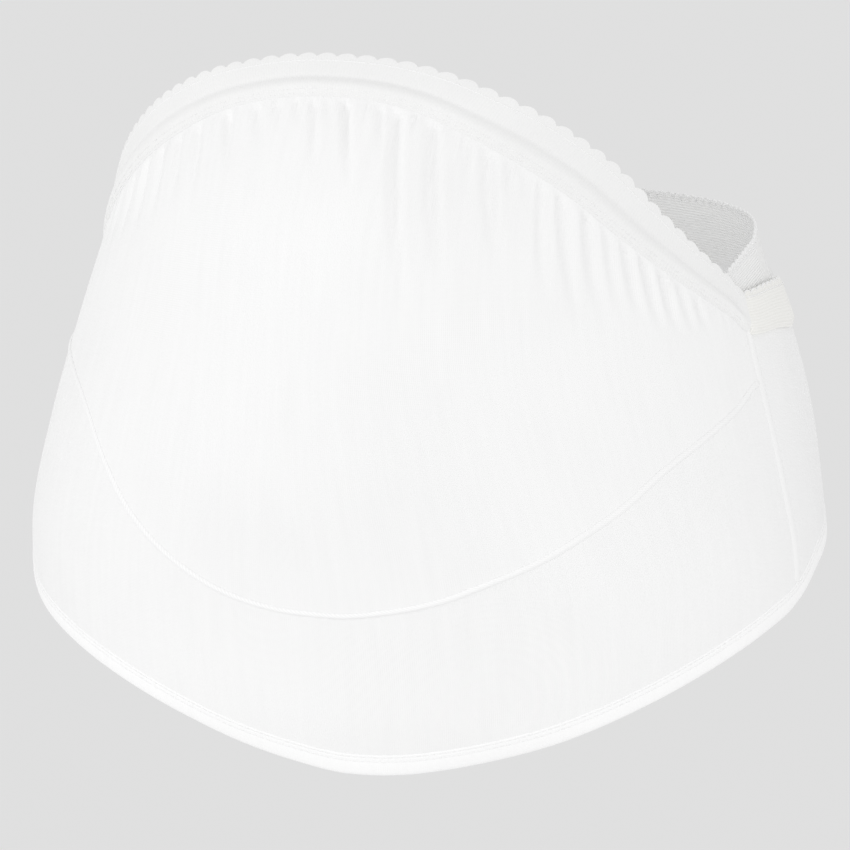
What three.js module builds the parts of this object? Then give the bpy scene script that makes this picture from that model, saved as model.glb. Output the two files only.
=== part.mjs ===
// A maternity support belt in its worn form: an elastic ring that is deep in front, where it bulges, and
// shallow behind. Two front panels meet in a curved seam low on the bulge. A back panel closes the ring, a
// turned hem runs round its foot, a scalloped elastic gathers the cloth at its top, a ribbed elastic
// crosses the back, and a fastening tab lies over the joint at each side.
//
// Millimetres and degrees. +Z is up, the front faces -Y, and left is +X. A turn of 0 is the middle of the
// front, 90 the left side, -90 the right side and 180 the middle of the back.
import * as THREE from "three";

// The form that the belt is stretched round.
const hipWidth = 362; // at height 0, its widest place
const bellyDepth = 182; // from the upright axis to the front of the bulge
const backDepth = 114; // from the axis to the back
const frontRise = 217; // the top of the belt's front, above height 0
const frontDrop = 88; // the foot of its front, below height 0
const leftSeamTurn = 78.5; // where the front meets the back on the left
const rightSeamTurn = 88; // and on the right: the ring sits turned a little
const topMiddle = -4.5; // the turn at which the top edge has its middle
const bellySeamMiddle = 1.5;
const hemMiddle = 2;

// The cloth. A lift is measured outwards from the form.
const clothThickness = 1.2;
const doubleThickness = 1.6; // the two layers below the curved seam
const gap = 0.3; // between two pieces that touch
const cutTurn = 0.15; // degrees between the cut edges of two panels at a side seam
const seatLift = clothThickness + gap; // where a piece sits that lies on the cloth

// The elastic along the top of the front.
const bandWidth = 22;
const bandThickness = 1.4;
const bandPuff = 1.3; // how far the gathers under its foot push it out
const bandTuck = 6; // how far the gathered cloth goes in under it
const bandEndTurn = 24; // how many degrees its ends take to come down to the height of a tab
const scallopPitch = 8.8;
const scallopHeight = 2;

// The elastic across the back, which lies inside the cloth.
const backBandWidth = 30;
const backBandThickness = 1.2;
const backBandReach = 7; // how many degrees its ends go in under the front panel
const backLap = 5; // how far the back panel covers it

// The fastening tabs, the seams and the hem.
const tabHeight = 18.5;
const tabThickness = 2.2;
const tabReach = 33; // how many degrees it goes back from the side seam
const tabFlare = 5; // how much higher it is at its back end
const tabCorner = 3; // how far its back corners are cut
const tabCornerTurn = 3; // how many degrees the cut takes
const hemHeight = 10;
const hemThickness = 2.2;
const bellySeamWidth = 3;
const bellySeamThickness = 1.2;
const sideSeamWidth = 5;
const sideSeamThickness = 0.9;
const seamClear = 1.2; // degrees between the curved seam's ends and the side seams
const ridgeRound = 0.7; // the share of a seam's thickness that is lost at its sides

// The gathers under the elastic.
const foldDepth = 2.2;
const foldReach = 70;
const foldStart = 4; // how far below the elastic a fold has its full depth
const foldHold = 0.25; // the share of its reach that it keeps most of its depth
const foldRoom = 0.85; // the share of the panel's height that a fold may take

// How finely the solids are cut.
const flank = 1.3; // how many widths from a fold's middle there is a column on its flank
const leastStep = 0.4; // degrees between two columns of the front panels
const rowCrowding = 1.6; // more than 1 puts the front panel's rows closer together at its top

// The form, section by section. A level is a share of frontRise above height 0 and of frontDrop below it,
// a width of hipWidth, a belly of bellyDepth and a back of backDepth. Round makes the front tighter than
// an ellipse, with flatter flanks, and flat makes the back squarer.
const sections = [
  { level: -1.25, width: 0.836, belly: 0.597, back: 0.877, round: 0, flat: 0.02 },
  { level: -0.68, width: 0.952, belly: 0.696, back: 0.947, round: 0, flat: 0.02 },
  { level: 0, width: 1, belly: 0.829, back: 1, round: 0.02, flat: 0.03 },
  { level: 0.23, width: 0.95, belly: 0.945, back: 0.974, round: 0.05, flat: 0.085 },
  { level: 0.461, width: 0.873, belly: 1, back: 0.921, round: 0.07, flat: 0.092 },
  { level: 0.691, width: 0.788, belly: 0.956, back: 0.851, round: 0.05, flat: 0.03 },
  { level: 0.922, width: 0.73, belly: 0.801, back: 0.807, round: 0.02, flat: 0.02 },
  { level: 1.106, width: 0.702, belly: 0.646, back: 0.807, round: 0, flat: 0.02 },
];

// The edges, by their levels on the left and on the right. Way is 0 at an edge's own middle in front, 1 at
// the side seam and 2 at the middle of the back.
const topRows = [
  { way: 0, left: 1, right: 1 },
  { way: 0.1, left: 0.998, right: 0.995 },
  { way: 0.2, left: 0.989, right: 0.982 },
  { way: 0.3, left: 0.971, right: 0.965 },
  { way: 0.4, left: 0.944, right: 0.94 },
  { way: 0.5, left: 0.912, right: 0.908 },
  { way: 0.6, left: 0.868, right: 0.866 },
  { way: 0.7, left: 0.811, right: 0.816 },
  { way: 0.8, left: 0.73, right: 0.756 },
  { way: 0.9, left: 0.645, right: 0.677 },
  { way: 0.95, left: 0.606, right: 0.631 },
  { way: 1, left: 0.567, right: 0.576 },
];
const bellySeamRows = [
  { way: 0, left: -0.176, right: -0.176 },
  { way: 0.1, left: -0.14, right: -0.166 },
  { way: 0.2, left: -0.074, right: -0.099 },
  { way: 0.3, left: 0.012, right: 0.015 },
  { way: 0.4, left: 0.056, right: 0.092 },
  { way: 0.5, left: 0.109, right: 0.186 },
  { way: 0.6, left: 0.166, right: 0.279 },
  { way: 0.7, left: 0.233, right: 0.336 },
  { way: 0.8, left: 0.288, right: 0.369 },
  { way: 0.9, left: 0.339, right: 0.392 },
  { way: 1, left: 0.389, right: 0.406 },
];
const hemRows = [
  { way: 0, left: -1, right: -1 },
  { way: 0.1, left: -0.986, right: -0.96 },
  { way: 0.2, left: -0.939, right: -0.891 },
  { way: 0.3, left: -0.872, right: -0.794 },
  { way: 0.4, left: -0.79, right: -0.694 },
  { way: 0.5, left: -0.685, right: -0.598 },
  { way: 0.6, left: -0.572, right: -0.506 },
  { way: 0.7, left: -0.457, right: -0.42 },
  { way: 0.8, left: -0.344, right: -0.33 },
  { way: 0.9, left: -0.236, right: -0.227 },
  { way: 1, left: -0.128, right: -0.114 },
  { way: 1.09, left: 0.018, right: 0.014 },
  { way: 1.2, left: 0.055, right: 0.051 },
  { way: 1.35, left: 0.088, right: 0.088 },
  { way: 1.6, left: 0.115, right: 0.115 },
  { way: 2, left: 0.129, right: 0.129 },
];
const backTopRows = [
  { way: 0.93, left: 0.585, right: 0.59 },
  { way: 1, left: 0.618, right: 0.624 },
  { way: 1.06, left: 0.647, right: 0.654 },
  { way: 1.11, left: 0.664, right: 0.668 },
  { way: 1.2, left: 0.687, right: 0.691 },
  { way: 1.4, left: 0.714, right: 0.714 },
  { way: 1.7, left: 0.733, right: 0.733 },
  { way: 2, left: 0.737, right: 0.737 },
];
const tabTopRows = [
  { way: 1, left: 0.567, right: 0.576 },
  { way: 1.09, left: 0.578, right: 0.585 },
  { way: 1.2, left: 0.581, right: 0.59 },
  { way: 1.4, left: 0.585, right: 0.594 },
];

// The elastic's section, from its foot to its scallops' tips. Rise is a share of its width, and lift a
// share of bandPuff: it bulges over the gathers, dips to a crease, and leans out to its edge.
const bandRows = [
  { rise: 0, lift: 0.1 },
  { rise: 0.2, lift: 0.7 },
  { rise: 0.42, lift: -0.45 },
  { rise: 0.86, lift: 0.5 },
  { rise: 1, lift: 0.65 },
];

// The folds of the gathers. Width is in degrees, depth a share of foldDepth and reach a share of
// foldReach. Lean is how many degrees its foot is to the left of its top.
const folds = [
  { turn: -66, width: 1.3, depth: 0.3, reach: 0.35, lean: 0 },
  { turn: -61, width: 1.5, depth: 0.35, reach: 0.45, lean: 0 },
  { turn: -55.5, width: 1.5, depth: 0.4, reach: 0.55, lean: 0.5 },
  { turn: -50, width: 1.6, depth: 0.5, reach: 0.55, lean: 1 },
  { turn: -44.5, width: 1.5, depth: 0.45, reach: 0.6, lean: 1.5 },
  { turn: -39, width: 1.4, depth: 0.5, reach: 0.55, lean: 2 },
  { turn: -33.5, width: 1.7, depth: 0.6, reach: 0.6, lean: 2.5 },
  { turn: -25.5, width: 1.6, depth: 1, reach: 0.42, lean: 2.5 },
  { turn: -18.5, width: 1.5, depth: 0.6, reach: 0.32, lean: 2.5 },
  { turn: -13.5, width: 1.4, depth: 0.35, reach: 0.25, lean: 1.5 },
  { turn: -9.2, width: 1.4, depth: 0.5, reach: 0.2, lean: 1 },
  { turn: -5.8, width: 1.4, depth: 0.6, reach: 0.55, lean: 4 },
  { turn: -2.4, width: 1.2, depth: 0.4, reach: 0.2, lean: 0.5 },
  { turn: 0.8, width: 1.5, depth: 0.9, reach: 0.6, lean: 5.5 },
  { turn: 7.9, width: 1.3, depth: 0.6, reach: 0.35, lean: 2.5 },
  { turn: 11.2, width: 1.8, depth: 1, reach: 1.15, lean: 8 },
  { turn: 18.5, width: 1.9, depth: 1, reach: 1, lean: 7.5 },
  { turn: 25.5, width: 1.3, depth: 0.5, reach: 0.3, lean: 1.5 },
  { turn: 29.9, width: 1.8, depth: 1, reach: 0.7, lean: 4.5 },
  { turn: 34, width: 1.2, depth: 0.4, reach: 0.25, lean: 1 },
  { turn: 37.3, width: 1.3, depth: 0.4, reach: 0.25, lean: 1 },
  { turn: 40.5, width: 1.6, depth: 0.8, reach: 0.8, lean: 2 },
  { turn: 44.2, width: 1.7, depth: 1, reach: 0.75, lean: 3 },
  { turn: 49.2, width: 1.6, depth: 1, reach: 0.62, lean: 1 },
  { turn: 52.6, width: 1.5, depth: 0.7, reach: 0.52, lean: 1 },
  { turn: 55.8, width: 1.5, depth: 1, reach: 0.46, lean: 1 },
  { turn: 58.8, width: 1.4, depth: 1, reach: 0.46, lean: 1.5 },
  { turn: 61.9, width: 1.3, depth: 1, reach: 0.4, lean: 1 },
  { turn: 65, width: 1.3, depth: 0.7, reach: 0.32, lean: 1 },
  { turn: 67.8, width: 1.2, depth: 0.6, reach: 0.25, lean: 0.5 },
];

const { degToRad, smoothstep, lerp } = THREE.MathUtils;

// A smooth line through a table: its value at any place from the first row to the last.
function lineThrough(rows, place, value) {
  const places = rows.map((row) => row[place]);
  const values = rows.map((row) => row[value]);
  const line = new THREE.CubicInterpolant(places, values, 1, [0]);
  line.settings = { endingStart: THREE.ZeroSlopeEnding, endingEnd: THREE.ZeroSlopeEnding };
  return (at) => line.evaluate(at)[0];
}

function heightOf(level) {
  return level > 0 ? level * frontRise : level * frontDrop;
}

// The height of an edge at any turn, all the way round.
function edgeThrough(rows, middle = 0) {
  const heights = rows.map(({ way, left, right }) => ({ way, left: heightOf(left), right: heightOf(right) }));
  const left = lineThrough(heights, "way", "left");
  const right = lineThrough(heights, "way", "right");
  return (turn) => {
    const fromTheFront = turn > 180 ? turn - 360 : turn;
    const onTheLeft = fromTheFront > middle;
    const seam = onTheLeft ? leftSeamTurn : -rightSeamTurn;
    const toTheSeam = (fromTheFront - middle) / (seam - middle);
    const pastTheSeam = Math.abs(fromTheFront - seam) / (180 - Math.abs(seam));
    const way = toTheSeam < 1 ? toTheSeam : 1 + pastTheSeam;
    return onTheLeft ? left(way) : right(way);
  };
}

const formRows = sections.map((row) => ({
  height: heightOf(row.level),
  halfWidth: (row.width * hipWidth) / 2,
  belly: row.belly * bellyDepth,
  back: row.back * backDepth,
  round: row.round,
  flat: row.flat,
}));
const halfWidthAt = lineThrough(formRows, "height", "halfWidth");
const bellyAt = lineThrough(formRows, "height", "belly");
const backAt = lineThrough(formRows, "height", "back");
const roundAt = lineThrough(formRows, "height", "round");
const flatAt = lineThrough(formRows, "height", "flat");

const topEdge = edgeThrough(topRows, topMiddle);
const bellySeam = edgeThrough(bellySeamRows, bellySeamMiddle);
const hemEdge = edgeThrough(hemRows, hemMiddle);
const backTop = edgeThrough(backTopRows);
const tabTop = edgeThrough(tabTopRows);

// A point on the form.
function form(turn, height) {
  const angle = degToRad(turn);
  const inFront = Math.cos(angle) > 0;
  const depth = inFront ? bellyAt(height) : backAt(height);
  const round = inFront ? roundAt(height) : -flatAt(height);
  const across = (Math.sin(angle) - round * Math.sin(3 * angle)) / (1 + round);
  return new THREE.Vector3(halfWidthAt(height) * across, -depth * Math.cos(angle), height);
}

// A point that stands a lift off the form, square to it.
function cloth(turn, height, lift) {
  const along = form(turn + 1, height).sub(form(turn - 1, height));
  const up = form(turn, height + 1).sub(form(turn, height - 1));
  return form(turn, height).addScaledVector(along.cross(up).normalize(), lift);
}

// The place a distance below an edge, along the cloth. It is square to the edge where square is 1, and
// plumb where it is 0.
function belowEdge(edge, turn, distance, square) {
  const along = form(turn + 1, edge(turn + 1)).sub(form(turn - 1, edge(turn - 1)));
  const clothPerHeight = form(turn, edge(turn) + 1).distanceTo(form(turn, edge(turn) - 1)) / 2;
  const clothPerDegree = Math.hypot(along.x, along.y) / 2;
  const tilt = square * Math.atan2((along.z / 2) * clothPerHeight, clothPerDegree);
  return {
    turn: turn + (distance * Math.sin(tilt)) / clothPerDegree,
    height: edge(turn) - (distance * Math.cos(tilt)) / clothPerHeight,
  };
}

// One closed solid from a grid of places. point(column, row, lift) gives the outer face where lift is 1
// and the inner face where it is 0, and a ring joins its last column to its first.
function solidFrom(columns, rows, point, ring = false) {
  const positions = [];
  const index = [];
  for (const face of [1, 0])
    for (const column of columns)
      for (const row of rows) positions.push(...point(column, row, face).toArray());
  const faceSize = columns.length * rows.length;
  const at = (face, i, j) => face * faceSize + (i % columns.length) * rows.length + j;
  const quad = (a, b, c, d) => index.push(a, b, c, a, c, d);
  const strips = ring ? columns.length : columns.length - 1;
  const top = rows.length - 1;
  for (let i = 0; i < strips; i++) {
    for (let j = 0; j < top; j++) {
      quad(at(0, i, j), at(0, i + 1, j), at(0, i + 1, j + 1), at(0, i, j + 1));
      quad(at(1, i, j), at(1, i, j + 1), at(1, i + 1, j + 1), at(1, i + 1, j));
    }
    quad(at(1, i, 0), at(1, i + 1, 0), at(0, i + 1, 0), at(0, i, 0));
    quad(at(0, i, top), at(0, i + 1, top), at(1, i + 1, top), at(1, i, top));
  }
  if (!ring)
    for (let j = 0; j < top; j++) {
      quad(at(1, 0, j), at(0, 0, j), at(0, 0, j + 1), at(1, 0, j + 1));
      quad(at(0, strips, j), at(1, strips, j), at(1, strips, j + 1), at(0, strips, j + 1));
    }
  const geometry = new THREE.BufferGeometry();
  geometry.setAttribute("position", new THREE.Float32BufferAttribute(positions, 3));
  geometry.setIndex(index);
  geometry.computeVertexNormals();
  return geometry;
}

function evenly(from, to, steps) {
  return Array.from({ length: steps + 1 }, (_, i) => lerp(from, to, i / steps));
}

// Columns along an edge for a whole number of scallops, each with its place in its scallop, from 0 to 1.
function scallopColumns(edge, from, to, pitch) {
  const perScallop = 3;
  const fine = evenly(from, to, 400);
  const lengths = [0];
  for (let i = 1; i < fine.length; i++) {
    const step = form(fine[i], edge(fine[i])).distanceTo(form(fine[i - 1], edge(fine[i - 1])));
    lengths.push(lengths[i - 1] + step);
  }
  const whole = lengths[lengths.length - 1];
  const steps = Math.max(1, Math.round(whole / pitch)) * perScallop;
  let seen = 1;
  return Array.from({ length: steps + 1 }, (_, i) => {
    const length = (whole * i) / steps;
    while (seen < lengths.length - 1 && lengths[seen] < length) seen++;
    const share = (length - lengths[seen - 1]) / (lengths[seen] - lengths[seen - 1]);
    return { turn: lerp(fine[seen - 1], fine[seen], share), phase: (i % perScallop) / perScallop };
  });
}

// How far below its tip a scalloped edge is.
function scallopDip(column, height) {
  return height * (1 - Math.sqrt(Math.sin(Math.PI * column.phase)));
}

// A place on the front elastic, a distance below its tips. Its ends are cut plumb and are as high as a
// tab.
function bandPlace(turn, distance) {
  const fromAnEnd = Math.min(turn + rightSeamTurn, leftSeamTurn - turn);
  const toTheEnd = 1 - smoothstep(fromAnEnd, 0, bandEndTurn);
  const width = lerp(bandWidth, tabHeight, toTheEnd);
  return belowEdge(topEdge, turn, (distance * width) / bandWidth, 1 - toTheEnd);
}

// The foot of that elastic, as an edge.
const bandFootRows = evenly(-rightSeamTurn, leftSeamTurn, 60).map((turn) => bandPlace(turn, bandWidth));
const bandFoot = lineThrough(bandFootRows, "turn", "height");

// How far in the folds pull the front panel.
function foldLift(turn, height) {
  const below = bandFoot(turn) - height;
  const room = bandFoot(turn) - bellySeam(turn);
  let lift = 0;
  for (const fold of folds) {
    const reach = Math.min(fold.reach * foldReach, foldRoom * room);
    const down = below / reach;
    if (down <= 0 || down >= 1) continue;
    const off = (turn - fold.turn - fold.lean * down) / fold.width;
    const fade = smoothstep(below, 0, foldStart) * (1 - smoothstep(down, foldHold, 1));
    lift -= fold.depth * foldDepth * fade * (1 - off * off) * Math.exp(-off * off);
  }
  return lift;
}

// The columns that the panels and the hem share, so that their edges run side by side. In front there is
// one at each fold's middle and one on each of its flanks.
const foldColumns = folds.flatMap((fold) => [-flank, 0, flank].map((way) => fold.turn + way * fold.width));
const endSteps = [0, 3, 6, 9, 12, 15]; // degrees from a side seam
const endColumns = endSteps.flatMap((step) => [step - rightSeamTurn, leftSeamTurn - step]);
const sortedColumns = [...endColumns, ...foldColumns].sort((a, b) => a - b);
const frontColumns = sortedColumns.filter((turn, i) => i === 0 || turn - sortedColumns[i - 1] > leastStep);
const backColumns = evenly(leftSeamTurn + cutTurn, 360 - rightSeamTurn - cutTurn, 43);

function frontPanel() {
  const rows = evenly(1, 0, 9).map((row) => row ** rowCrowding);
  return solidFrom(frontColumns, rows, (turn, row, face) => {
    const height = lerp(bandFoot(turn) + bandTuck, bellySeam(turn) + gap / 2, row);
    return cloth(turn, height, face * clothThickness + foldLift(turn, height));
  });
}

function supportPanel() {
  return solidFrom(frontColumns, evenly(0, 1, 3), (turn, row, face) => {
    const height = lerp(hemEdge(turn) + hemHeight + gap, bellySeam(turn) - gap / 2, row);
    return cloth(turn, height, clothThickness - (1 - face) * doubleThickness);
  });
}

function backPanel() {
  return solidFrom(backColumns, evenly(0, 1, 3), (turn, row, face) => {
    const top = backTop(turn) - backBandWidth + backLap;
    return cloth(turn, lerp(hemEdge(turn) + hemHeight + gap, top, row), face * clothThickness);
  });
}

function topBand() {
  const columns = scallopColumns(topEdge, -rightSeamTurn, leftSeamTurn, scallopPitch);
  return solidFrom(columns, bandRows, (column, row, face) => {
    const distance = row.rise < 1 ? (1 - row.rise) * bandWidth : scallopDip(column, scallopHeight);
    const place = bandPlace(column.turn, distance);
    return cloth(place.turn, place.height, seatLift + row.lift * bandPuff + face * bandThickness);
  });
}

function backBand() {
  const start = leftSeamTurn - backBandReach;
  const end = 360 - rightSeamTurn + backBandReach;
  const columns = [...evenly(start, leftSeamTurn, 2), ...backColumns, ...evenly(360 - rightSeamTurn, end, 2)];
  return solidFrom(columns, [backBandWidth, 0], (turn, below, face) => {
    return cloth(turn, backTop(turn) - below, (face - 1) * backBandThickness - 2 * gap);
  });
}

// A fastening tab, from its side seam backwards. Side is 1 on the left and -1 on the right.
function sideTab(side, seamTurn) {
  const places = [cutTurn, ...evenly(0, tabReach, 10).slice(1, -1), tabReach - tabCornerTurn / 2, tabReach];
  const turns = places.sort((a, b) => a - b).map((place) => side * (seamTurn + place));
  if (side < 0) turns.reverse();
  const end = side * (seamTurn + tabReach);
  return solidFrom(turns, [1, 0], (turn, below, face) => {
    const corner = tabCorner * (1 - smoothstep(Math.abs(end - turn), 0, tabCornerTurn));
    const fullHeight = tabHeight + (tabFlare * (Math.abs(turn) - seamTurn)) / tabReach;
    const height = tabTop(turn) - lerp(corner, fullHeight - corner, below);
    return cloth(turn, height, seatLift + face * tabThickness);
  });
}

// The turned hem: a ring whose foot is a round fold.
function hemBand() {
  const fold = [
    { rise: 0, pinch: 0.32 },
    { rise: 0.15, pinch: 0.06 },
    { rise: 1, pinch: 0 },
  ];
  const columns = [...frontColumns, ...backColumns];
  const outer = clothThickness + gap;
  const point = (turn, row, face) => {
    const inset = row.pinch * hemThickness;
    const lift = face ? outer - inset : outer - hemThickness + inset;
    return cloth(turn, hemEdge(turn) + row.rise * hemHeight, lift);
  };
  return solidFrom(columns, fold, point, true);
}

// A sewn ridge: across runs from -1 to 1 over its width, and it is highest in its middle.
function ridgeLift(across, face, thickness) {
  return seatLift + face * thickness * (1 - ridgeRound * across * across);
}

function bellySeamRidge() {
  const columns = evenly(seamClear - rightSeamTurn, leftSeamTurn - seamClear, 48);
  return solidFrom(columns, [-1, 0, 1], (turn, across, face) => {
    const place = belowEdge(bellySeam, turn, (-across * bellySeamWidth) / 2, 1);
    return cloth(place.turn, place.height, ridgeLift(across, face, bellySeamThickness));
  });
}

function sideSeamRidge(middle) {
  const rows = evenly(0, 1, 12);
  return solidFrom([-1, 0, 1], rows, (across, row, face) => {
    const bottom = hemEdge(middle) + hemHeight + gap;
    const height = lerp(bottom, tabTop(middle) - tabHeight - 2 * gap, row);
    const perDegree = form(middle + 1, height).distanceTo(form(middle - 1, height)) / 2;
    const turn = middle + (across * sideSeamWidth) / 2 / perDegree;
    return cloth(turn, height, ridgeLift(across, face, sideSeamThickness));
  });
}

const knit = new THREE.MeshStandardMaterial({ color: 0xf2f2f1, roughness: 0.75, metalness: 0 });
const firmKnit = new THREE.MeshStandardMaterial({ color: 0xefefee, roughness: 0.75, metalness: 0 });
const plush = new THREE.MeshStandardMaterial({ color: 0xededeb, roughness: 0.9, metalness: 0 });
const ribbed = new THREE.MeshStandardMaterial({ color: 0xe9e9e6, roughness: 0.85, metalness: 0 });
const tabElastic = new THREE.MeshStandardMaterial({ color: 0xe8e7dd, roughness: 0.9, metalness: 0 });
const thread = new THREE.MeshStandardMaterial({ color: 0xf4f4f3, roughness: 0.7, metalness: 0 });

const pieces = [
  ["front_panel", frontPanel(), knit],
  ["support_panel", supportPanel(), firmKnit],
  ["back_panel", backPanel(), firmKnit],
  ["belly_seam", bellySeamRidge(), thread],
  ["side_seam_left", sideSeamRidge(leftSeamTurn), thread],
  ["side_seam_right", sideSeamRidge(-rightSeamTurn), thread],
  ["hem_band", hemBand(), knit],
  ["top_band", topBand(), plush],
  ["back_band", backBand(), ribbed],
  ["side_tab_left", sideTab(1, leftSeamTurn), tabElastic],
  ["side_tab_right", sideTab(-1, rightSeamTurn), tabElastic],
];

const belt = new THREE.Group();
for (const [name, geometry, material] of pieces) {
  const mesh = new THREE.Mesh(geometry, material);
  mesh.name = name;
  belt.add(mesh);
}

export default belt;
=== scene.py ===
# %% [markdown]
# # A maternity support belt
# The belt is an elastic ring, deep in front and shallow behind. This lesson dresses its plain solids:
# each piece of cloth becomes a fine sheet that is wrapped on the same form as the solid it replaces, and
# then gets its folds, its edging, its stitches and a knitted finish.

# %% The frame
import math

import bpy
import numpy as np
from mathutils import Matrix, Vector


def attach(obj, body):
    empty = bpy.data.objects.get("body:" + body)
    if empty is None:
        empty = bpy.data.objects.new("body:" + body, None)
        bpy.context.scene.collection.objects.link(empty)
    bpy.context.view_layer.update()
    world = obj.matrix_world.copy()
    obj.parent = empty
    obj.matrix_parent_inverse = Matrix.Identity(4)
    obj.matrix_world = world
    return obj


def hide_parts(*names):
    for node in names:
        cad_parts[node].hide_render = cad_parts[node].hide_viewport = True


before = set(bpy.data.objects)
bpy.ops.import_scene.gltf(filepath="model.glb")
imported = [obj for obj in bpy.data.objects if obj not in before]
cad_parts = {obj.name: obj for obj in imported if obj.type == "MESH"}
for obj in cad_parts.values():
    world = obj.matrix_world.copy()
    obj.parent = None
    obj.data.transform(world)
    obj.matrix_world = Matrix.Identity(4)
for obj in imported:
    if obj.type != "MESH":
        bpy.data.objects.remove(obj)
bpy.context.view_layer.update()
print("solids:", ", ".join(sorted(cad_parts)))

# %% [markdown]
# Everything lies on one form, the shape that the ring is stretched round. It is worked out in millimetres
# and turns, as the solids are: a turn of 0 is the middle of the front, 90 the left side and 180 the
# middle of the back. Meshes are written in metres.

# %% The form's sizes
hip_width, belly_depth, back_depth = 362, 182, 114
front_rise, front_drop = 217, 88
left_seam, right_seam = 78.5, 88
cloth_thickness, gap = 1.2, 0.3
seat_lift = cloth_thickness + gap
band_width, band_thickness, band_puff, band_tuck, band_end_turn = 22, 1.4, 1.3, 6, 24
back_band_width, back_band_thickness, back_band_reach, back_lap = 30, 1.2, 7, 5
tab_height, tab_thickness, tab_reach, tab_flare, tab_corner = 18.5, 2.2, 33, 5, 3
hem_height, hem_overlap = 10, 0.5
fold_depth, fold_reach, fold_start, fold_hold, fold_room = 2.2, 70, 4, 0.25, 0.85

# level, width, belly, back, round, flat
sections = [
    (-1.25, 0.836, 0.597, 0.877, 0, 0.02),
    (-0.68, 0.952, 0.696, 0.947, 0, 0.02),
    (0, 1, 0.829, 1, 0.02, 0.03),
    (0.23, 0.95, 0.945, 0.974, 0.05, 0.085),
    (0.461, 0.873, 1, 0.921, 0.07, 0.092),
    (0.691, 0.788, 0.956, 0.851, 0.05, 0.03),
    (0.922, 0.73, 0.801, 0.807, 0.02, 0.02),
    (1.106, 0.702, 0.646, 0.807, 0, 0.02),
]

# %% [markdown]
# The edges are short tables of levels on the left and on the right. The way along an edge is 0 at its own
# middle in front, 1 at the side seam and 2 at the middle of the back. The belt sits a little askew, so
# each edge has its middle at a turn of its own.

# %% The edges' tables
# way, left, right
top_rows = [
    (0, 1, 1), (0.1, 0.998, 0.995), (0.2, 0.989, 0.982), (0.3, 0.971, 0.965), (0.4, 0.944, 0.94),
    (0.5, 0.912, 0.908), (0.6, 0.868, 0.866), (0.7, 0.811, 0.816), (0.8, 0.73, 0.756), (0.9, 0.645, 0.677),
    (0.95, 0.606, 0.631), (1, 0.567, 0.576),
]
belly_seam_rows = [
    (0, -0.176, -0.176), (0.1, -0.14, -0.166), (0.2, -0.074, -0.099), (0.3, 0.012, 0.015),
    (0.4, 0.056, 0.092), (0.5, 0.109, 0.186), (0.6, 0.166, 0.279), (0.7, 0.233, 0.336),
    (0.8, 0.288, 0.369), (0.9, 0.339, 0.392), (1, 0.389, 0.406),
]
hem_rows = [
    (0, -1, -1), (0.1, -0.986, -0.96), (0.2, -0.939, -0.891), (0.3, -0.872, -0.794), (0.4, -0.79, -0.694),
    (0.5, -0.685, -0.598), (0.6, -0.572, -0.506), (0.7, -0.457, -0.42), (0.8, -0.344, -0.33),
    (0.9, -0.236, -0.227), (1, -0.128, -0.114), (1.09, 0.018, 0.014), (1.2, 0.055, 0.051),
    (1.35, 0.088, 0.088), (1.6, 0.115, 0.115), (2, 0.129, 0.129),
]
back_top_rows = [
    (0.93, 0.585, 0.59), (1, 0.618, 0.624), (1.06, 0.647, 0.654), (1.11, 0.664, 0.668), (1.2, 0.687, 0.691),
    (1.4, 0.714, 0.714), (1.7, 0.733, 0.733), (2, 0.737, 0.737),
]
tab_top_rows = [(1, 0.567, 0.576), (1.09, 0.578, 0.585), (1.2, 0.581, 0.59), (1.4, 0.585, 0.594)]
top_middle, seam_middle, hem_middle = -4.5, 1.5, 2

# %% [markdown]
# A table gives only a few places, so a smooth line is drawn through them: a short cubic between each two,
# with the slope that their neighbours ask for. It passes through every place, as a tailor's curve does.

# %% Smooth lines through the tables


def line_through(places, values):
    """A smooth line through a table, level at both ends."""
    places, values = np.asarray(places, float), np.asarray(values, float)
    p = np.concatenate([[2 * places[0] - places[1]], places, [2 * places[-1] - places[-2]]])
    v = np.concatenate([[values[1]], values, [values[-2]]])

    def at(x):
        x = np.clip(x, places[0], places[-1])
        i = np.clip(np.searchsorted(places, x, side="right"), 1, len(places) - 1)
        step = p[i + 1] - p[i]
        s = (x - p[i]) / step
        before = step / 2 / (p[i] - p[i - 1])
        after = step / 2 / (p[i + 2] - p[i + 1])
        line = (-before * s**3 + 2 * before * s**2 - before * s) * v[i - 1]
        line += ((1 + before) * s**3 - (1.5 + 2 * before) * s**2 + (before - 0.5) * s + 1) * v[i]
        line += (-(1 + after) * s**3 + (1.5 + after) * s**2 + 0.5 * s) * v[i + 1]
        return line + (after * s**3 - after * s**2) * v[i + 2]

    return at


def height_of(level):
    return level * (front_rise if level > 0 else front_drop)


def edge_through(rows, middle=0.0):
    """The height of an edge at any turn."""
    ways = [row[0] for row in rows]
    left = line_through(ways, [height_of(row[1]) for row in rows])
    right = line_through(ways, [height_of(row[2]) for row in rows])

    def at(turn):
        turn = np.asarray(turn, float)
        turn = np.where(turn > 180, turn - 360, turn)
        on_left = turn > middle
        seam = np.where(on_left, left_seam, -right_seam)
        to_seam = (turn - middle) / (seam - middle)
        past_seam = np.abs(turn - seam) / (180 - np.abs(seam))
        way = np.where(to_seam < 1, to_seam, 1 + past_seam)
        return np.where(on_left, left(way), right(way))

    return at


form_heights = [height_of(row[0]) for row in sections]
form_lines = [line_through(form_heights, [row[k] for row in sections]) for k in range(1, 6)]
top_edge = edge_through(top_rows, top_middle)
belly_seam = edge_through(belly_seam_rows, seam_middle)
hem_edge = edge_through(hem_rows, hem_middle)
back_top = edge_through(back_top_rows)
tab_top = edge_through(tab_top_rows)
print("the top edge rises to", round(float(top_edge(top_middle))), "mm")

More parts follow.
